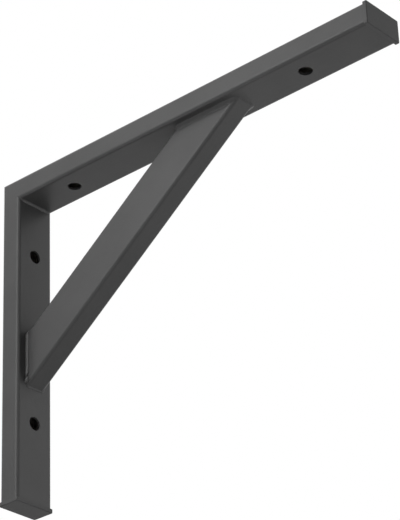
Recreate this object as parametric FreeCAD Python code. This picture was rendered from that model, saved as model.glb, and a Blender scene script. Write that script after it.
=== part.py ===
import FreeCAD, Part
import math
import os

# A heavy shelf bracket, welded from three lengths of rectangular steel tube.
# The arm and the leg are mitred together at the top, the brace props the arm from
# the leg on a slope, and a ribbed plastic plug closes each open tube end.
#
# The frame is that of the fixed bracket, in millimetres: X points out from the wall,
# Y runs across the bracket and Z points up. The wall touches the plane X = 0, the
# shelf rests on the plane Z = 0, and Y = 0 is the middle of the tubes' width.

Vector = FreeCAD.Vector

# The rectangular tube that all three lengths are cut from.
tube_width = 40.0
tube_depth = 20.0
tube_wall = 2.0
tube_corner_radius = 3.0

# The arm, from the wall plane to its open end, and the leg, from the shelf plane down.
arm_length = 400.0
leg_length = 300.0
mitre_edge_radius = 0.25

# The brace's centre line meets the leg's front this far below the arm's underside,
# and the arm's underside this far out from the leg's front.
brace_drop = 153.0
brace_reach = 209.0

# Screw holes, drilled square through both walls on the tubes' centre lines.
hole_radius = 6.0
arm_hole_inset = 68.0
arm_hole_pitch = 257.0
leg_hole_inset = 71.0
leg_hole_pitch = 158.0

# Fillet welds. A bead round the brace spreads over the face that the brace meets, and
# climbs up the brace. The foot's bead is small and full, the top's is wide and hollow,
# and both are thin on the side that the brace leans away from.
foot_weld_spread = 2.0
foot_weld_climb = 3.4
foot_weld_crown = 0.78
top_weld_spread = 2.8
top_weld_climb = 4.0
top_weld_crown = 0.4
thin_weld_spread = 1.1
thin_weld_crown = 0.3
# A crown is the share of its spread that a bead still has this share of the way up.
weld_crown_height = 0.45
# A bead's surface ends this deep inside the brace, so that no gap is left along it.
weld_root_depth = 0.4
# The straight bead in the mitre's inner corner, which stops short of the tubes' sides.
corner_weld_leg = 1.9
corner_weld_end_gap = 2.5

# The end plug: a flange that covers the tube's end, and a hollow ribbed body inside.
flange_thickness = 3.5
flange_overhang = 0.7
flange_corner_radius = 1.2
flange_edge_radius = 0.8
plug_length = 14.0
plug_wall = 1.4
rib_count = 3
rib_thickness = 1.0
rib_height = 1.4
rib_first_gap = 2.5
rib_clearance = 0.1

# Sizes that follow from the ones above.
half_width = tube_width / 2
half_depth = tube_depth / 2
drill_length = 2 * tube_depth
drill_start = tube_depth / 2
bore_width = tube_width - 2 * tube_wall
bore_depth = tube_depth - 2 * tube_wall
bore_corner_radius = tube_corner_radius - tube_wall
brace_run = math.hypot(brace_reach, brace_drop)
brace_along = Vector(brace_reach, 0, brace_drop) / brace_run
brace_square = Vector(-brace_drop, 0, brace_reach) / brace_run
across = Vector(0, 1, 0)
outward = Vector(1, 0, 0)
upward = Vector(0, 0, 1)


def rounded_outline(centre, first, second, first_size, second_size, first_radius, second_radius):
    """A closed rectangle in the plane of two directions, its corners quarter ellipses.

    first_size and first_radius lie along first, second_size and second_radius along second.
    """
    half_first = first_size / 2
    half_second = second_size / 2

    def place(a, b):
        return centre + first * a + second * b

    edges = []
    corners = ((1, 1), (-1, 1), (-1, -1), (1, -1))
    for number, (side, end) in enumerate(corners):
        middle_first = side * (half_first - first_radius)
        middle_second = end * (half_second - second_radius)
        rim = place(side * half_first, middle_second)
        tip = place(middle_first, end * half_second)
        diagonal = place(
            middle_first + side * first_radius * math.sqrt(0.5),
            middle_second + end * second_radius * math.sqrt(0.5),
        )
        start, finish = (rim, tip) if number % 2 == 0 else (tip, rim)
        edges.append(corner_edge(place(middle_first, middle_second), start, diagonal, finish))
        next_side, next_end = corners[(number + 1) % len(corners)]
        if number % 2 == 0:
            far = place(next_side * (half_first - first_radius), end * half_second)
        else:
            far = place(side * half_first, next_end * (half_second - second_radius))
        edges.append(Part.LineSegment(finish, far).toShape())
    return Part.Wire(edges)


def corner_edge(middle, start, diagonal, finish):
    """A quarter circle from start to finish, or a quarter ellipse where they differ in radius."""
    start_radius = (start - middle).Length
    finish_radius = (finish - middle).Length
    if math.isclose(start_radius, finish_radius):
        return Part.Arc(start, diagonal, finish).toShape()
    if start_radius > finish_radius:
        ellipse = Part.Ellipse(start, finish, middle)
        return Part.ArcOfEllipse(ellipse, 0, math.pi / 2).toShape()
    turned = middle * 2 - start
    ellipse = Part.Ellipse(finish, turned, middle)
    return Part.ArcOfEllipse(ellipse, -math.pi / 2, 0).toShape()


def plain_outline(centre, first, second, first_size, second_size, radius):
    return rounded_outline(centre, first, second, first_size, second_size, radius, radius)


def length_of_tube(start, run, wide, narrow, tube_outside=True):
    """The solid inside the tube's outer outline, or inside its bore, along the vector run."""
    if tube_outside:
        outline = plain_outline(start, wide, narrow, tube_width, tube_depth, tube_corner_radius)
    else:
        outline = plain_outline(start, wide, narrow, bore_width, bore_depth, bore_corner_radius)
    return Part.Face(outline).extrude(run)


def slab(points):
    """A solid with this outline in the plane Y = 0, as wide as the tube to each side."""
    corners = [Vector(x, -tube_width, z) for x, z in points]
    outline = Part.makePolygon(corners + corners[:1])
    return Part.Face(outline).extrude(across * 2 * tube_width)


def mitre_edge():
    """What is dressed off the bracket's sharp top corner to leave it slightly round."""
    radius = mitre_edge_radius
    side = -tube_width
    corner = Vector(0, side, 0)
    below = Vector(0, side, -radius)
    beside = Vector(radius, side, 0)
    inset = radius * (1 - math.sqrt(0.5))
    outline = Part.Wire(
        [
            Part.LineSegment(corner, below).toShape(),
            Part.Arc(below, Vector(inset, side, -inset), beside).toShape(),
            Part.LineSegment(beside, corner).toShape(),
        ]
    )
    return Part.Face(outline).extrude(across * 2 * tube_width)


def arm_hole_places():
    return [arm_hole_inset, arm_hole_inset + arm_hole_pitch]


def leg_hole_places():
    return [leg_hole_inset, leg_hole_inset + leg_hole_pitch]


def arm_outside():
    middle = Vector(0, 0, -half_depth)
    blank = length_of_tube(middle, outward * arm_length, across, upward)
    return blank.cut(slab([(0, 0), (0, -tube_depth), (tube_depth, -tube_depth)]))


def leg_outside():
    middle = Vector(half_depth, 0, 0)
    blank = length_of_tube(middle, upward * -leg_length, across, outward)
    return blank.cut(slab([(0, 0), (tube_depth, 0), (tube_depth, -tube_depth)]))


def make_arm_tube():
    middle = Vector(0, 0, -half_depth)
    bore = length_of_tube(middle, outward * arm_length, across, upward, tube_outside=False)
    tube = arm_outside().cut(bore).cut(mitre_edge())
    for place in arm_hole_places():
        start = Vector(place, 0, -tube_depth - drill_start)
        tube = tube.cut(Part.makeCylinder(hole_radius, drill_length, start, upward))
    return tube


def make_leg_tube():
    middle = Vector(half_depth, 0, 0)
    bore = length_of_tube(middle, upward * -leg_length, across, outward, tube_outside=False)
    tube = leg_outside().cut(bore).cut(mitre_edge())
    for place in leg_hole_places():
        start = Vector(-drill_start, 0, -place)
        tube = tube.cut(Part.makeCylinder(hole_radius, drill_length, start, outward))
    return tube


def brace_solid(tube_outside, overrun=0.0):
    """The brace's outer form or its bore, from the leg's front to the arm's underside.

    With an overrun it runs on past both faces, as a tool to cut the weld beads with.
    """
    steepest = max(brace_reach / brace_drop, brace_drop / brace_reach)
    spare = tube_width * steepest
    foot = Vector(tube_depth, 0, -tube_depth - brace_drop)
    start = foot - brace_along * spare
    run = brace_along * (brace_run + 2 * spare)
    blank = length_of_tube(start, run, brace_square, across, tube_outside)
    corner = Vector(tube_depth - overrun, -half_width, -tube_depth - leg_length)
    inside = Part.makeBox(arm_length, tube_width, leg_length + overrun, corner)
    return blank.common(inside)


def make_brace_tube():
    return brace_solid(tube_outside=True).cut(brace_solid(tube_outside=False))


def bead_round_brace(joint, away, sideways, back, spread, climb, crown):
    """The fillet weld round one end of the brace.

    joint is where the brace's centre line meets the face it is welded to, and away points
    out of that face. back points along the face to the side where the brace leans over,
    and the bead is widest there. sideways is how far the brace's centre line moves along
    the face for each step away from it.
    """
    lean = sideways.Length
    stretch = math.hypot(1, lean)
    buried = -weld_root_depth
    levels = [
        (0, spread, spread * max(1, lean), thin_weld_spread),
        (
            climb * weld_crown_height,
            spread * crown,
            spread * crown,
            thin_weld_spread * thin_weld_crown,
        ),
        (climb, buried, buried, buried),
    ]
    outlines = []
    for lift, flank, lean_side, open_side in levels:
        centre = joint + (away + sideways) * lift + back * ((lean_side - open_side) / 2)
        outlines.append(
            rounded_outline(
                centre,
                across,
                back,
                tube_depth + 2 * flank,
                tube_width * stretch + lean_side + open_side,
                tube_corner_radius + flank,
                tube_corner_radius * stretch + open_side,
            )
        )
    skirt = Part.makeLoft(outlines, True, True)
    return skirt.cut(brace_solid(tube_outside=True, overrun=climb))


def make_brace_foot_weld():
    joint = Vector(tube_depth, 0, -tube_depth - brace_drop)
    sideways = upward * (brace_drop / brace_reach)
    sizes = (foot_weld_spread, foot_weld_climb, foot_weld_crown)
    return bead_round_brace(joint, outward, sideways, upward, *sizes)


def make_brace_top_weld():
    joint = Vector(tube_depth + brace_reach, 0, -tube_depth)
    inward = outward * -1
    sideways = inward * (brace_reach / brace_drop)
    sizes = (top_weld_spread, top_weld_climb, top_weld_crown)
    return bead_round_brace(joint, upward * -1, sideways, inward, *sizes)


def make_corner_weld():
    """The bead across the inside of the mitre, run out over the tubes' rounded corners."""
    buried = tube_corner_radius
    reach = corner_weld_leg + tube_corner_radius
    inner = Vector(tube_depth, 0, -tube_depth)
    length = tube_width - 2 * corner_weld_end_gap
    corners = []
    for over, under in ((-buried, -buried), (reach, -buried), (-buried, reach)):
        corners.append(inner + Vector(over, -length / 2, -under))
    bead = Part.Face(Part.makePolygon(corners + corners[:1])).extrude(across * length)
    return bead.cut(arm_outside()).cut(leg_outside())


def make_end_cap(tube_end, outward_way, narrow):
    """A plug for the tube's end: outward_way points out of the tube, narrow along its depth."""
    flange_outline = plain_outline(
        tube_end,
        across,
        narrow,
        tube_width + 2 * flange_overhang,
        tube_depth + 2 * flange_overhang,
        flange_corner_radius,
    )
    flange = Part.Face(flange_outline).extrude(outward_way * flange_thickness)
    face_height = flange_thickness - flange_edge_radius / 2
    rim = [e for e in flange.Edges if (e.CenterOfMass - tube_end).dot(outward_way) > face_height]
    cap = flange.makeFillet(flange_edge_radius, rim)

    reach = rib_height + rib_clearance
    body_width = bore_width - 2 * reach
    body_depth = bore_depth - 2 * reach
    body_outline = plain_outline(
        tube_end, across, narrow, body_width, body_depth, bore_corner_radius
    )
    cap = cap.fuse(Part.Face(body_outline).extrude(outward_way * -plug_length))

    rib_pitch = (plug_length - rib_first_gap - rib_thickness) / (rib_count - 1)
    for number in range(rib_count):
        rib_start = tube_end - outward_way * (rib_first_gap + number * rib_pitch)
        rib_outline = plain_outline(
            rib_start,
            across,
            narrow,
            bore_width - 2 * rib_clearance,
            bore_depth - 2 * rib_clearance,
            bore_corner_radius,
        )
        cap = cap.fuse(Part.Face(rib_outline).extrude(outward_way * -rib_thickness))

    hollow_outline = plain_outline(
        tube_end,
        across,
        narrow,
        body_width - 2 * plug_wall,
        body_depth - 2 * plug_wall,
        bore_corner_radius / 2,
    )
    hollow = Part.Face(hollow_outline).extrude(outward_way * -plug_length)
    return cap.cut(hollow).removeSplitter()


def make_arm_end_cap():
    return make_end_cap(Vector(arm_length, 0, -tube_depth / 2), outward, upward)


def make_leg_end_cap():
    return make_end_cap(Vector(tube_depth / 2, 0, -leg_length), upward * -1, outward)


def only_solid(shape, name):
    """The one solid of a finished piece, so that each file holds a single body."""
    if len(shape.Solids) != 1 or not shape.isValid():
        raise ValueError(f"{name} came out as {len(shape.Solids)} solids")
    return shape.Solids[0]


pieces = {
    "arm_tube": make_arm_tube,
    "leg_tube": make_leg_tube,
    "brace_tube": make_brace_tube,
    "corner_weld": make_corner_weld,
    "brace_foot_weld": make_brace_foot_weld,
    "brace_top_weld": make_brace_top_weld,
    "arm_end_cap": make_arm_end_cap,
    "leg_end_cap": make_leg_end_cap,
}

os.makedirs("parts", exist_ok=True)
for name, make in pieces.items():
    solid = only_solid(make(), name)
    solid.exportStep(os.path.join("parts", name + ".step"))
    print(f"{name}: {solid.Volume / 1000:.2f} cm3")
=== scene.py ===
# %% [markdown]
# A heavy shelf bracket, welded from rectangular steel tube and powder coated dark grey.
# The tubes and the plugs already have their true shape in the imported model, so this
# lesson keeps them as they are and works on what the eye sees up close: the rippled
# weld beads, the coat with its orange peel, the grain of the moulded plugs, and light
# soft enough to show a dark object against white.

# %% Load the bracket
import math

import bmesh
import bpy
import numpy as np
from mathutils import Matrix, Vector


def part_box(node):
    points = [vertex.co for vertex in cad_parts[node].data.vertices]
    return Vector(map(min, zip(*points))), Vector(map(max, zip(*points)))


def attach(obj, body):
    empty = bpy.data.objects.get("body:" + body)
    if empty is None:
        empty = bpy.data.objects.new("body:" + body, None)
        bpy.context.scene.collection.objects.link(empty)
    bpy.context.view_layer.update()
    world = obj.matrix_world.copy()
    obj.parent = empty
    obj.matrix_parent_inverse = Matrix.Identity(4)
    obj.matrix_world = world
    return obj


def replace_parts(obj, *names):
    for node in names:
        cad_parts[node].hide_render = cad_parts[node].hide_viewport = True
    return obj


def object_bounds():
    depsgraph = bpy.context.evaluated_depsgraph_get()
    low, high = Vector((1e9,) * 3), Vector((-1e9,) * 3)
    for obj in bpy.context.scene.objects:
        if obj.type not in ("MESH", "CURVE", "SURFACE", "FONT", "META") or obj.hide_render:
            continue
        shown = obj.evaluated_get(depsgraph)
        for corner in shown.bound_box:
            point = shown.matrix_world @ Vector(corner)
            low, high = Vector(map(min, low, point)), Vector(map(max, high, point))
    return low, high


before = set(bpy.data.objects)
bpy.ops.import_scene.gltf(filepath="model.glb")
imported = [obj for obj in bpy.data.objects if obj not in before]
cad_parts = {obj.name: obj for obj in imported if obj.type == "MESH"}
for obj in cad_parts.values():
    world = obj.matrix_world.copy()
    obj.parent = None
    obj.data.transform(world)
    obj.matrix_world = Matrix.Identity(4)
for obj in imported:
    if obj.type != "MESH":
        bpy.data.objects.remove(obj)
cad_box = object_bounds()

MM = 0.001
print("pieces in the packed model:", sorted(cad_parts))
print("size in mm:", [round((high - low) / MM, 1) for low, high in zip(*cad_box)])

# %% [markdown]
# The bracket is seen from below and in front of its near side. Pointing a camera by eye
# would take many tries, so it is placed by geometry. Its azimuth and its elevation say
# where it stands seen from the bracket, and a small roll turns it about its own sight
# line. The three together give its axes.

# %% The camera's directions
camera_azimuth = math.radians(40.41)
camera_elevation = math.radians(-28.7)
camera_roll = math.radians(-2.154)


def camera_axes():
    """The camera's right, up and backward directions."""
    flat = math.cos(camera_elevation)
    backward = Vector(
        (
            math.sin(camera_azimuth) * flat,
            -math.cos(camera_azimuth) * flat,
            math.sin(camera_elevation),
        )
    )
    level = Vector((math.cos(camera_azimuth), math.sin(camera_azimuth), 0))
    upright = backward.cross(level)
    turn = Matrix.Rotation(camera_roll, 3, backward)
    return turn @ level, turn @ upright, backward


camera_right, camera_up, camera_back = camera_axes()
print("the camera looks along:", [round(-value, 2) for value in camera_back])

# %% [markdown]
# A long lens nearly two metres away keeps the tubes' edges almost parallel. One point of
# the bracket is then put at a chosen place in the picture, counted in pixels from its top
# left corner: the camera moves sideways by what those pixels measure at that distance.

# %% Camera
picture_width = 400
picture_height = 520
camera_lens = 156.23
camera_sensor = 36.0
aim_point = Vector((150, 0, -150)) * MM
aim_pixel = Vector((147.8, 287.76))
aim_distance = 1838.9 * MM
focal_pixels = camera_lens / camera_sensor * picture_height
pixel_size = aim_distance / focal_pixels
camera_data = bpy.data.cameras.new("camera")
camera_data.lens = camera_lens
camera_data.sensor_width = camera_sensor
camera = bpy.data.objects.new("camera", camera_data)
bpy.context.scene.collection.objects.link(camera)
place = aim_point + camera_back * aim_distance
place -= camera_right * (aim_pixel.x - picture_width / 2) * pixel_size
place += camera_up * (aim_pixel.y - picture_height / 2) * pixel_size
turned = Matrix((camera_right, camera_up, camera_back)).transposed().to_4x4()
camera.matrix_world = Matrix.Translation(place) @ turned
bpy.context.scene.camera = camera
print("camera stands at, in mm:", [round(value / MM) for value in place])

# %% [markdown]
# Colours are picked as they look on a screen, as sRGB hex codes, but a shader works on
# linear light, so one function turns the first into the second. The sRGB standard has a
# straight piece for the darkest values and a power curve for the others. Each material is
# then a small tree of nodes, and one more function adds a node, sets it and links it.

# %% Colours and nodes
def linear(code):
    """The linear colour, with alpha, of an sRGB hex code."""
    straight_end = 0.04045
    straight_slope = 12.92
    curve_shift = 0.055
    curve_power = 2.4
    channels = [int(code[start : start + 2], 16) / 255 for start in (1, 3, 5)]
    values = [
        value / straight_slope
        if value <= straight_end
        else ((value + curve_shift) / (1 + curve_shift)) ** curve_power
        for value in channels
    ]
    return (*values, 1.0)


def add_node(tree, kind, sockets=None, **settings):
    """A node of a kind, with its settings, and its sockets given values or links."""
    node = tree.nodes.new(kind)
    for name, value in settings.items():
        setattr(node, name, value)
    for name, value in (sockets or {}).items():
        if isinstance(value, bpy.types.NodeSocket):
            tree.links.new(value, node.inputs[name])
        else:
            node.inputs[name].default_value = value
    return node


def empty_tree(owner):
    """The node tree of a material or a world, with nothing in it."""
    owner.use_nodes = True
    owner.node_tree.nodes.clear()
    return owner.node_tree


print("mid grey #808080 in linear light:", round(linear("#808080")[0], 3))

# %% [markdown]
# The light is that of a product photograph in a white tent: soft from all round, with
# broad lamps that give each side of the tubes its own tone. A white world alone would
# make all sides alike. The background is white only for rays that see it: those straight
# from the camera, and those that a glossy or a clear surface sends on. It adds nothing to
# the light that the bracket scatters, and the coat still mirrors a white tent.

# %% World
white = linear("#ffffff")
tent_strength = 0.02
backdrop_strength = 1.0


def seen_by_ray(tree):
    """1 for rays that show what they meet, and 0 for rays that gather scattered light."""
    path = add_node(tree, "ShaderNodeLightPath").outputs
    mirrored = {0: path["Is Glossy Ray"], 1: path["Is Transmission Ray"]}
    mirrored = add_node(tree, "ShaderNodeMath", mirrored, operation="MAXIMUM").outputs[0]
    sockets = {0: path["Is Camera Ray"], 1: mirrored}
    return add_node(tree, "ShaderNodeMath", sockets, operation="MAXIMUM").outputs[0]


world = bpy.data.worlds.new("white_tent")
bpy.context.scene.world = world
tree = empty_tree(world)
lighting = {"Color": white, "Strength": tent_strength}
tent_light = add_node(tree, "ShaderNodeBackground", lighting)
showing = {"Color": white, "Strength": backdrop_strength}
backdrop = add_node(tree, "ShaderNodeBackground", showing)
seen = add_node(
    tree,
    "ShaderNodeMixShader",
    {0: seen_by_ray(tree), 1: tent_light.outputs[0], 2: backdrop.outputs[0]},
)
add_node(tree, "ShaderNodeOutputWorld", {"Surface": seen.outputs[0]})
bpy.context.scene.view_settings.view_transform = "Standard"
print("the tent lights with", tent_strength, "and is seen with", backdrop_strength)

# %% [markdown]
# The tent's cloth glows in broad patches where the light comes through, and each patch is
# a square area lamp here. Placing nine lamps by eye is slow. The bracket was rendered
# once under each of many candidates instead, and the mixture of them was kept that gives
# each side of the tubes the tone of the real one. Far lamps light a tube evenly, and two
# near ones make the tone run along it. The camera sees none of them.

# %% Lamps
bracket_middle = (cad_box[0] + cad_box[1]) / 2
# Each lamp: the direction it stands in, its distance and width in metres, and its
# brightness, where 1 is that of the white backdrop.
lamps = {
    "front_high": ((-0.11, -0.89, 0.45), 1.8, 1.2, 1.41),
    "front_near": ((-0.3, -0.85, 0.4), 0.9, 0.5, 2.90),
    "above": ((-0.54, -0.09, 0.84), 1.8, 1.2, 0.61),
    "behind_right": ((0.6, 0.78, 0.1), 1.8, 1.3, 0.70),
    "behind_left": ((-0.39, 0.92, 0.02), 1.8, 1.2, 0.40),
    "behind_low": ((0.5, 0.7, -0.5), 1.8, 1.0, 1.06),
    "low_right": ((0.5, 0.2, -0.85), 0.9, 0.5, 0.86),
    "low_front": ((-0.5, -0.3, -0.8), 1.8, 1.0, 1.13),
    "near_camera": ((0.26, -0.73, -0.64), 1.8, 0.4, 4.40),
}
for name, (direction, distance, width, brightness) in lamps.items():
    light = bpy.data.lights.new(name, "AREA")
    light.size = width
    light.energy = brightness * math.pi * width**2
    lamp = bpy.data.objects.new(name, light)
    way = Vector(direction).normalized()
    lamp.location = bracket_middle + way * distance
    lamp.rotation_mode = "QUATERNION"
    lamp.rotation_quaternion = way.to_track_quat("Z", "Y")
    lamp.visible_camera = False
    bpy.context.scene.collection.objects.link(lamp)
print("lamps:", ", ".join(lamps))

# %% [markdown]
# The floor lies well below the bracket, as under one that is fixed to a wall, and the
# camera stands between the two. It is a single large face.

# %% Floor
floor_height = -2.4
floor_half_width = 9.0
bm = bmesh.new()
bmesh.ops.create_grid(bm, x_segments=1, y_segments=1, size=floor_half_width)
bmesh.ops.translate(bm, verts=bm.verts, vec=(0, 0, floor_height))
floor_mesh = bpy.data.meshes.new("floor")
bm.to_mesh(floor_mesh)
bm.free()
floor = bpy.data.objects.new("floor", floor_mesh)
bpy.context.scene.collection.objects.link(floor)
print("the floor lies at", floor_height, "metres")

# %% [markdown]
# The floor is painted nearly white. So far away it gets little of the lamps' light and
# would look dark, so for the rays that show what they meet, straight or mirrored, a pale
# glow is added to it, which grows to the white of the backdrop far out. Its underside
# lets light and sight through, so that a camera placed lower than the floor still sees
# the bracket.

# %% Floor paint
floor_colour = linear("#f4f4f4")
glow_in_middle = 0.62
glow_far_out = 1.0
glow_grows_from = 1.5
glow_grows_to = 8.0
floor_paint = bpy.data.materials.new("pale_floor_paint")
tree = empty_tree(floor_paint)
pale = add_node(tree, "ShaderNodeBsdfDiffuse", {"Color": floor_colour})
spot = add_node(tree, "ShaderNodeTexCoord").outputs["Object"]
far_out = add_node(tree, "ShaderNodeVectorMath", {0: spot}, operation="LENGTH")
growth = add_node(
    tree,
    "ShaderNodeMapRange",
    {
        "Value": far_out.outputs["Value"],
        "From Min": glow_grows_from - floor_height,
        "From Max": glow_grows_to,
        "To Min": glow_in_middle,
        "To Max": glow_far_out,
    },
)
sockets = {0: growth.outputs["Result"], 1: seen_by_ray(tree)}
strength = add_node(tree, "ShaderNodeMath", sockets, operation="MULTIPLY")
glowing = {"Color": white, "Strength": strength.outputs[0]}
glow = add_node(tree, "ShaderNodeEmission", glowing)
lit = add_node(tree, "ShaderNodeAddShader", {0: pale.outputs[0], 1: glow.outputs[0]})
clear = add_node(tree, "ShaderNodeBsdfTransparent")
side = add_node(tree, "ShaderNodeNewGeometry")
sheet = add_node(
    tree,
    "ShaderNodeMixShader",
    {0: side.outputs["Backfacing"], 1: lit.outputs[0], 2: clear.outputs[0]},
)
add_node(tree, "ShaderNodeOutputMaterial", {"Surface": sheet.outputs[0]})
floor_mesh.materials.append(floor_paint)
print("the floor glows with", glow_in_middle, "in the middle and", glow_far_out, "far out")

# %% [markdown]
# The steel is powder coated: dry polyester powder is charged, sprayed on and baked until
# it flows. It can't flow quite flat, which leaves the fine waves called orange peel, and
# the satin kind is filled with matting grains. One smooth noise makes the waves and one
# fine noise the grains. Real grains are a few hundredths of a millimetre, too fine to
# show, so they are drawn about half a millimetre wide. Most of a noise lies between 0.3
# and 0.7, so that range is spread over the roughness.

# %% The coat's surface
coat_roughness = 0.42
coat_roughness_spread = 0.05
orange_peel_size = 2.2 * MM
orange_peel_height = 0.05 * MM
orange_peel_detail = 1.0
grain_size = 0.5 * MM
grain_height = 0.01 * MM
grain_detail = 2.0
grain_low = 0.3
grain_high = 0.7


def coat_surface(tree, where):
    """The roughness and the normal of the coat, from its grains and its orange peel."""
    pattern = {"Vector": where, "Scale": 1 / orange_peel_size, "Detail": orange_peel_detail}
    peel = add_node(tree, "ShaderNodeTexNoise", pattern)
    pattern = {"Vector": where, "Scale": 1 / grain_size, "Detail": grain_detail}
    grain = add_node(tree, "ShaderNodeTexNoise", pattern)
    gloss = add_node(
        tree,
        "ShaderNodeMapRange",
        {
            "Value": grain.outputs["Fac"],
            "From Min": grain_low,
            "From Max": grain_high,
            "To Min": coat_roughness - coat_roughness_spread,
            "To Max": coat_roughness + coat_roughness_spread,
        },
    )
    sockets = {"Height": peel.outputs["Fac"], "Distance": orange_peel_height}
    waves = add_node(tree, "ShaderNodeBump", sockets)
    sockets = {"Height": grain.outputs["Fac"], "Distance": grain_height}
    sockets["Normal"] = waves.outputs["Normal"]
    surface = add_node(tree, "ShaderNodeBump", sockets)
    return gloss.outputs["Result"], surface.outputs["Normal"]


print("the orange peel's waves are", round(orange_peel_size / MM, 1), "mm wide")

# %% [markdown]
# The powder hardly reaches into a tube, so its bore stays bare steel, grey with mill
# scale. The holes show it. It needs no object of its own: the bore is where a point lies
# deeper than the tube's wall. The axis of a tube's depth and the place of its middle
# differ from tube to tube, so each coat is told its own.

# %% The bore of a tube
tube_wall = 2 * MM
bore_margin = 0.05 * MM
arm_low, arm_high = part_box("arm_tube")
tube_width = arm_high.y - arm_low.y
tube_depth = arm_high.z - arm_low.z


def inside_bore(tree, where, depth_axis, depth_middle):
    """1 on the faces of a tube's bore, and 0 on its outer faces and in its holes."""
    place = add_node(tree, "ShaderNodeSeparateXYZ", {"Vector": where})
    spans = [
        (place.outputs[depth_axis], depth_middle, tube_depth / 2 - tube_wall),
        (place.outputs["Y"], 0.0, tube_width / 2 - tube_wall),
    ]
    within = []
    for way, middle, half in spans:
        sockets = {0: way, 1: middle, 2: half + bore_margin}
        within.append(add_node(tree, "ShaderNodeMath", sockets, operation="COMPARE"))
    both = {0: within[0].outputs[0], 1: within[1].outputs[0]}
    return add_node(tree, "ShaderNodeMath", both, operation="MULTIPLY").outputs[0]


bore_sizes = [size - 2 * tube_wall for size in (tube_width, tube_depth)]
print("the bore measures, in mm:", [round(size / MM, 1) for size in bore_sizes])

# %% [markdown]
# Polyester has an IOR of about 1.5. The grains break up part of what a smooth coat would
# mirror, and a specular level under the usual 0.5 stands for that. The grey is never
# quite even either, so a slow noise lets it drift between two close greys.

# %% Powder coat
coat_light_grey = linear("#535353")
coat_dark_grey = linear("#4d4d4d")
bare_steel = linear("#c4c1bc")
coat_ior = 1.5
coat_specular_level = 0.35
cloud_size = 45 * MM
cloud_detail = 3.0
cloud_low = 0.35
cloud_high = 0.65


def powder_coat(name, bore=None):
    """Satin powder coat on steel, with a bare bore where the tube is drilled.

    bore is the axis that the tube's depth runs along and where its middle lies on it.
    """
    material = bpy.data.materials.new(name)
    tree = empty_tree(material)
    where = add_node(tree, "ShaderNodeTexCoord").outputs["Object"]
    pattern = {"Vector": where, "Scale": 1 / cloud_size, "Detail": cloud_detail}
    clouds = add_node(tree, "ShaderNodeTexNoise", pattern)
    grey = add_node(tree, "ShaderNodeValToRGB", {"Fac": clouds.outputs["Fac"]})
    grey.color_ramp.elements[0].position = cloud_low
    grey.color_ramp.elements[0].color = coat_dark_grey
    grey.color_ramp.elements[1].position = cloud_high
    grey.color_ramp.elements[1].color = coat_light_grey
    colour = grey.outputs["Color"]
    if bore:
        # A Mix node for colours takes them in sockets 6 and 7, and mixes them to output 2.
        sockets = {0: inside_bore(tree, where, *bore), 6: colour, 7: bare_steel}
        colour = add_node(tree, "ShaderNodeMix", sockets, data_type="RGBA").outputs[2]
    roughness, normal = coat_surface(tree, where)
    coat = add_node(
        tree,
        "ShaderNodeBsdfPrincipled",
        {
            "Base Color": colour,
            "Roughness": roughness,
            "IOR": coat_ior,
            "Specular IOR Level": coat_specular_level,
            "Normal": normal,
        },
    )
    add_node(tree, "ShaderNodeOutputMaterial", {"Surface": coat.outputs[0]})
    return material


coat_material = powder_coat("satin_powder_coat")
coats = {
    "arm_tube": powder_coat("coated_arm_bare_bore", ("Z", -tube_depth / 2)),
    "leg_tube": powder_coat("coated_leg_bare_bore", ("X", tube_depth / 2)),
    "brace_tube": coat_material,
}
for name, coat in coats.items():
    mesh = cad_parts[name].data
    mesh.materials.clear()
    mesh.materials.append(coat)
    print(name, "is coated with", coat.name)

# %% [markdown]
# The plugs are injection moulded from black polyethylene. The mould's faces are spark
# eroded, which leaves a fine even grain that scatters light, so the plastic looks flatter
# and a touch darker than the coat beside it. The real grain is about a tenth of a
# millimetre, too fine to show, so it is drawn near one millimetre. The rim is painted a
# paler grey than the end: a painted highlight, where its rounded edges catch the lamps. How
# far a face turns from the plug's end tells the rim from the end, so each plug is told
# which way its end looks.

# %% Moulded plastic
end_plugs = {"arm_end_cap": "X", "leg_end_cap": "Z"}
plastic_light = linear("#444444")
plastic_dark = linear("#3c3c3c")
# The rim's paler grey is a painted highlight, where the plug's edges catch the lamps.
plastic_rim_painted_highlight = linear("#585858")
plastic_roughness = 0.55
plastic_ior = 1.51
plastic_specular_level = 0.35
mould_grain_size = 0.9 * MM
mould_grain_height = 0.06 * MM
mould_grain_detail = 2.0


def moulded_plastic(name, end_axis):
    """Matte polyethylene from a spark-eroded mould, with a painted highlight round the rim.
    """
    material = bpy.data.materials.new(name)
    tree = empty_tree(material)
    seat = add_node(tree, "ShaderNodeTexCoord").outputs
    facing = add_node(tree, "ShaderNodeSeparateXYZ", {"Vector": seat["Normal"]})
    sockets = {0: facing.outputs[end_axis]}
    end_face = add_node(tree, "ShaderNodeMath", sockets, operation="ABSOLUTE")
    pattern = {"Vector": seat["Object"], "Scale": 1 / mould_grain_size}
    pattern["Detail"] = mould_grain_detail
    grain = add_node(tree, "ShaderNodeTexNoise", pattern)
    tint = add_node(tree, "ShaderNodeValToRGB", {"Fac": grain.outputs["Fac"]})
    tint.color_ramp.elements[0].color = plastic_dark
    tint.color_ramp.elements[1].color = plastic_light
    # The rim gets the painted highlight grey, and the end face gets the grained tint.
    sockets = {0: end_face.outputs[0], 6: plastic_rim_painted_highlight, 7: tint.outputs["Color"]}
    colour = add_node(tree, "ShaderNodeMix", sockets, data_type="RGBA")
    sockets = {"Height": grain.outputs["Fac"], "Distance": mould_grain_height}
    surface = add_node(tree, "ShaderNodeBump", sockets)
    plastic = add_node(
        tree,
        "ShaderNodeBsdfPrincipled",
        {
            "Base Color": colour.outputs[2],
            "Roughness": plastic_roughness,
            "IOR": plastic_ior,
            "Specular IOR Level": plastic_specular_level,
            "Normal": surface.outputs["Normal"],
        },
    )
    add_node(tree, "ShaderNodeOutputMaterial", {"Surface": plastic.outputs[0]})
    return material


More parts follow.
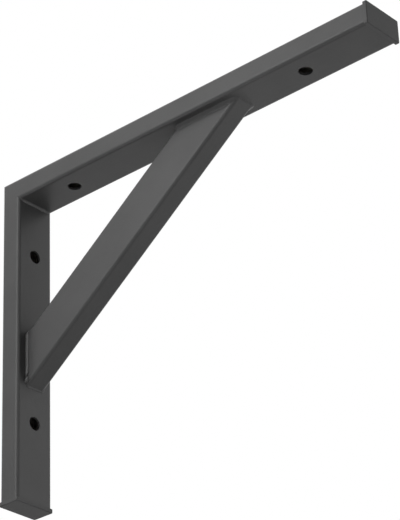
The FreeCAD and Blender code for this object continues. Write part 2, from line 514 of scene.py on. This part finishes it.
for name, end_axis in end_plugs.items():
    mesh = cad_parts[name].data
    mesh.materials.clear()
    mesh.materials.append(moulded_plastic(name + "_plastic", end_axis))
    print(name, "is moulded plastic, with its end along", end_axis)

# %% [markdown]
# A weld bead is metal that froze in a row of overlapping pools, which leaves ripples
# across it, and the coat only softens them. A formula says how far each point of a bead
# stands off the joint, which is easier to shape than a sweep along a curve. The ripples
# bow forwards in the middle of the bead, as the pools did, and fade out at its two toes.

# %% The shape of a bead
ripple_pitch = 2.1 * MM
ripple_height = 0.16 * MM
ripple_bow = 0.9
ripple_sharpness = 0.6
ripple_mean = 0.5


def bead_point(root, over_face, up_brace, share, along, hollow):
    """A point of a bead's surface.

    root is the joint line's point here. over_face and up_brace reach from it to the
    bead's two toes. share runs from 0 at the first toe to 1 at the second, and along is
    the distance travelled, which sets the ripples. A hollow of 1 gives a full, round
    bead, 2 a flat one, and more a hollow one.
    """
    angle = share * math.pi / 2
    first = max(0.0, math.cos(angle)) ** hollow
    second = max(0.0, math.sin(angle)) ** hollow
    phase = along / ripple_pitch + ripple_bow * math.sin(math.pi * share)
    ripple = abs(math.sin(math.pi * phase)) ** ripple_sharpness
    lift = ripple_height * (ripple - ripple_mean) * math.sin(math.pi * share)
    stand_off = (over_face.normalized() + up_brace.normalized()).normalized()
    return root + over_face * first + up_brace * second + stand_off * lift


print("a ripple every", round(ripple_pitch / MM, 1), "mm")

# %% [markdown]
# All the beads are made the same way: a flat grid is wrapped into a ribbon, one way along
# the joint and the other way round the bead's own section, and its seams are merged. The
# last few rows of the ribbon run hidden under the bead, a little inside the steel, and
# close it.

# %% A piece made of beads
section_steps = 10
hidden_steps = 2
root_depth = 0.4 * MM
merge_distance = 0.001 * MM


def wrap_ribbon(bm, path, hollow):
    """Add a bead along a path: a list of (root, over_face, up_brace, along) stations."""
    lengths = len(path) - 1
    rounds = section_steps + hidden_steps
    half = 0.5
    grid = bmesh.ops.create_grid(bm, x_segments=lengths, y_segments=rounds, size=half)
    for vert in grid["verts"]:
        turn = round((vert.co.y + half) * rounds)
        root, over_face, up_brace, along = path[round((vert.co.x + half) * lengths)]
        if section_steps < turn < rounds:
            vert.co = root - (over_face.normalized() + up_brace.normalized()) * root_depth
        else:
            share = turn / section_steps if turn < rounds else 0
            vert.co = bead_point(root, over_face, up_brace, share, along, hollow)
    bmesh.ops.remove_doubles(bm, verts=grid["verts"], dist=merge_distance)


def make_bead(name, runs):
    """A piece made of one or more runs of weld, each a path and its hollow."""
    bm = bmesh.new()
    for path, hollow in runs:
        wrap_ribbon(bm, path, hollow)
    bmesh.ops.recalc_face_normals(bm, faces=bm.faces)
    mesh = bpy.data.meshes.new(name)
    bm.to_mesh(mesh)
    open_edges = sum(1 for edge in bm.edges if not edge.is_manifold)
    bm.free()
    mesh.shade_smooth()
    mesh.materials.append(coat_material)
    bead = bpy.data.objects.new(name, mesh)
    bpy.context.scene.collection.objects.link(bead)
    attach(bead, "root")
    print(name, "has", len(mesh.polygons), "faces and", open_edges, "open edges")
    return bead


print("a bead's section has", section_steps + hidden_steps, "sides")

# %% [markdown]
# Two beads run right round the brace's ends. The brace leans, so its outline on the face
# it meets is longer than its own section. The walk round that outline is worked out from
# the tubes' boxes in the frame, in even steps that fit a whole number of ripples.

# %% The walk round the brace
brace_low, brace_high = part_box("brace_tube")
brace_rise = (brace_high.z - brace_low.z) / (brace_high.x - brace_low.x)
brace_slope = math.atan(brace_rise)
tube_corner_radius = 3 * MM
corner_steps = 12
steps_per_ripple = 6


def walk_round_brace(half_length):
    """Even steps round the brace's outline on a face, where it is this long each way.

    A step is the place and the outward direction, each as (lengthwise, across), and the
    distance walked so far.
    """
    stretch = half_length / (tube_width / 2)
    places = []
    for quarter in range(4):
        length_side = 1 if quarter in (0, 3) else -1
        width_side = 1 if quarter < 2 else -1
        for step in range(corner_steps + 1):
            angle = (quarter + step / corner_steps) * math.pi / 2
            lengthwise = length_side * (tube_width / 2 - tube_corner_radius)
            lengthwise += tube_corner_radius * math.cos(angle)
            widthwise = width_side * (tube_depth / 2 - tube_corner_radius)
            widthwise += tube_corner_radius * math.sin(angle)
            way = Vector((math.cos(angle) / stretch, math.sin(angle))).normalized()
            places.append((lengthwise * stretch, widthwise, way.x, way.y))
    places = np.array(places + places[:1])
    steps = np.hypot(*np.diff(places[:, :2], axis=0).T)
    walked = np.concatenate([[0], np.cumsum(steps)])
    ripples = round(walked[-1] / ripple_pitch)
    evenly = np.linspace(0, walked[-1], ripples * steps_per_ripple, endpoint=False)
    columns = [np.interp(evenly, walked, column) for column in places.T]
    return list(zip(*columns, evenly))


print("the brace rises at", round(math.degrees(brace_slope), 1), "degrees")

# %% [markdown]
# A welder's hand is never quite even, so the beads waver a little, by the sum of two slow
# waves that don't fall together. Both beads are wider where the brace leans over the face
# it meets. On the opposite side, under the brace, the light shows only a thin bead, so
# they shrink to one there.

# %% A bead round the brace
wavers = [(0.05, 3.1 * MM), (0.03, 1.3 * MM)]
thin_bead_spread = 0.8 * MM
thin_bead_climb = 1.0 * MM
across = Vector((0, 1, 0))


def swell(along, changes):
    """How full the bead is here. Each change is its place, its share and its half length."""
    fullness = 1 + sum(share * math.sin(along / length) for share, length in wavers)
    for place, share, half_length in changes:
        fullness += share * math.exp(-(((along - place) / half_length) ** 2))
    return fullness


def path_round_brace(middle, away, lean, back, half_length, spread, climb, changes):
    """The stations of a bead round one end of the brace.

    away points out of the face, lean is the brace's shift along the face for each step
    away from it, and back points to the side where the brace leans over. On the opposite
    side the bead shrinks to the thin one. The bead closes on its own start.
    """
    lean_leg = max(1, lean.length)
    path = []
    for lengthwise, widthwise, back_way, across_way, along in walk_round_brace(half_length):
        size = swell(along, changes)
        thin = max(0.0, -back_way)
        wide = 1 + (lean_leg - 1) * max(0.0, back_way)
        root = middle + back * lengthwise + across * widthwise
        reach = (spread * wide * (1 - thin) + thin_bead_spread * thin) * size
        rise = (climb * (1 - thin) + thin_bead_climb * thin) * size
        over_face = (back * back_way + across * across_way) * reach
        path.append((root, over_face, (away + lean) * rise, along))
    return path + path[:1]


print("the beads waver by up to", round(100 * sum(share for share, _ in wavers)), "percent")

# %% [markdown]
# At its lower near corner the foot was tacked first, to hold it while it was welded. A
# short fat run of its own makes the tack, rounded off at both ends.

# %% The tack
outward = Vector((1, 0, 0))
upward = Vector((0, 0, 1))
tack_height = 4.1 * MM
tack_half_length = 2.4 * MM
tack_taper = 1.2 * MM
tack_spread = 2.2 * MM
tack_climb = 3.2 * MM
tack_stations = 13
tack_phase = 0.45


def end_taper(from_middle, half_length, taper):
    """How full a run is near its rounded ends: 1 until the taper starts, then down to 0."""
    past_full = max(0.0, abs(from_middle) - half_length + taper)
    return math.sqrt(max(0.0, 1 - (past_full / taper) ** 2))


def path_of_tack():
    """The stations of the tack on the near side of the brace's foot."""
    path = []
    for from_middle in np.linspace(-tack_half_length, tack_half_length, tack_stations):
        size = end_taper(from_middle, tack_half_length, tack_taper)
        root = Vector((brace_low.x, -tube_depth / 2, brace_low.z + tack_height + from_middle))
        over_face = -across * tack_spread * size
        up_brace = (outward + upward * brace_rise) * tack_climb * size
        path.append((root, over_face, up_brace, tack_phase * ripple_pitch))
    return path


print("the tack is", round(2 * tack_half_length / MM, 1), "mm long")

# %% [markdown]
# The foot's bead is nearly round, and it thins out before the tack. It sits on the leg's
# front, where the brace leans up the leg, so it is at its widest above the brace.

# %% The bead round the foot
foot_spread = 1.5 * MM
foot_climb = 3.0 * MM
foot_hollow = 1.2
foot_thinned = [
    (76.3 * MM, -0.6, 0.8 * MM),
    (73.8 * MM, -0.4, 2.0 * MM),
    (71.0 * MM, -0.5, 1.4 * MM),
]
foot_half = tube_width / 2 / math.cos(brace_slope)
foot_middle = Vector((brace_low.x, 0, brace_low.z + foot_half))
foot_lean = upward * brace_rise
foot_path = path_round_brace(
    foot_middle, outward, foot_lean, upward, foot_half, foot_spread, foot_climb, foot_thinned
)
foot_runs = [(foot_path, foot_hollow), (path_of_tack(), foot_hollow)]
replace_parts(make_bead("brace_foot_bead", foot_runs), "brace_foot_weld")

# %% [markdown]
# The top's bead is wider, and its section is hollow. It sits under the arm, where the
# brace leans back towards the leg, so it is at its widest on the leg's side.

# %% The bead round the top
top_spread = 2.6 * MM
top_climb = 3.4 * MM
top_hollow = 2.6
top_half = tube_width / 2 / math.sin(brace_slope)
top_middle = Vector((brace_high.x - top_half, 0, brace_high.z))
top_lean = -outward / brace_rise
top_path = path_round_brace(
    top_middle, -upward, top_lean, -outward, top_half, top_spread, top_climb, []
)
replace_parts(make_bead("brace_top_bead", [(top_path, top_hollow)]), "brace_top_weld")

# %% [markdown]
# The third bead fills the inside of the mitre, from one side of the tubes to the other.
# It follows the valley between them, which curves away at the tubes' rounded corners,
# and tapers to nothing at both ends.

# %% Bead in the corner
corner_bead_leg = 1.9 * MM
corner_bead_half = 18.6 * MM
corner_bead_taper = 4.0 * MM
corner_hollow = 2.8


def path_in_corner():
    """The stations of the straight bead, from the near side to the far one."""
    flat_half = tube_width / 2 - tube_corner_radius
    ripples = round(2 * corner_bead_half / ripple_pitch)
    stations = ripples * steps_per_ripple + 1
    path = []
    for widthwise in np.linspace(-corner_bead_half, corner_bead_half, stations):
        past_flat = max(0.0, abs(widthwise) - flat_half)
        sink = tube_corner_radius - math.sqrt(tube_corner_radius**2 - past_flat**2)
        root = Vector((arm_low.x + tube_depth - sink, widthwise, arm_low.z + sink))
        along = widthwise + corner_bead_half
        size = corner_bead_leg * swell(along, [])
        size *= end_taper(widthwise, corner_bead_half, corner_bead_taper)
        path.append((root, outward * size, -upward * size, along))
    return path


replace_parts(make_bead("corner_bead", [(path_in_corner(), corner_hollow)]), "corner_weld")
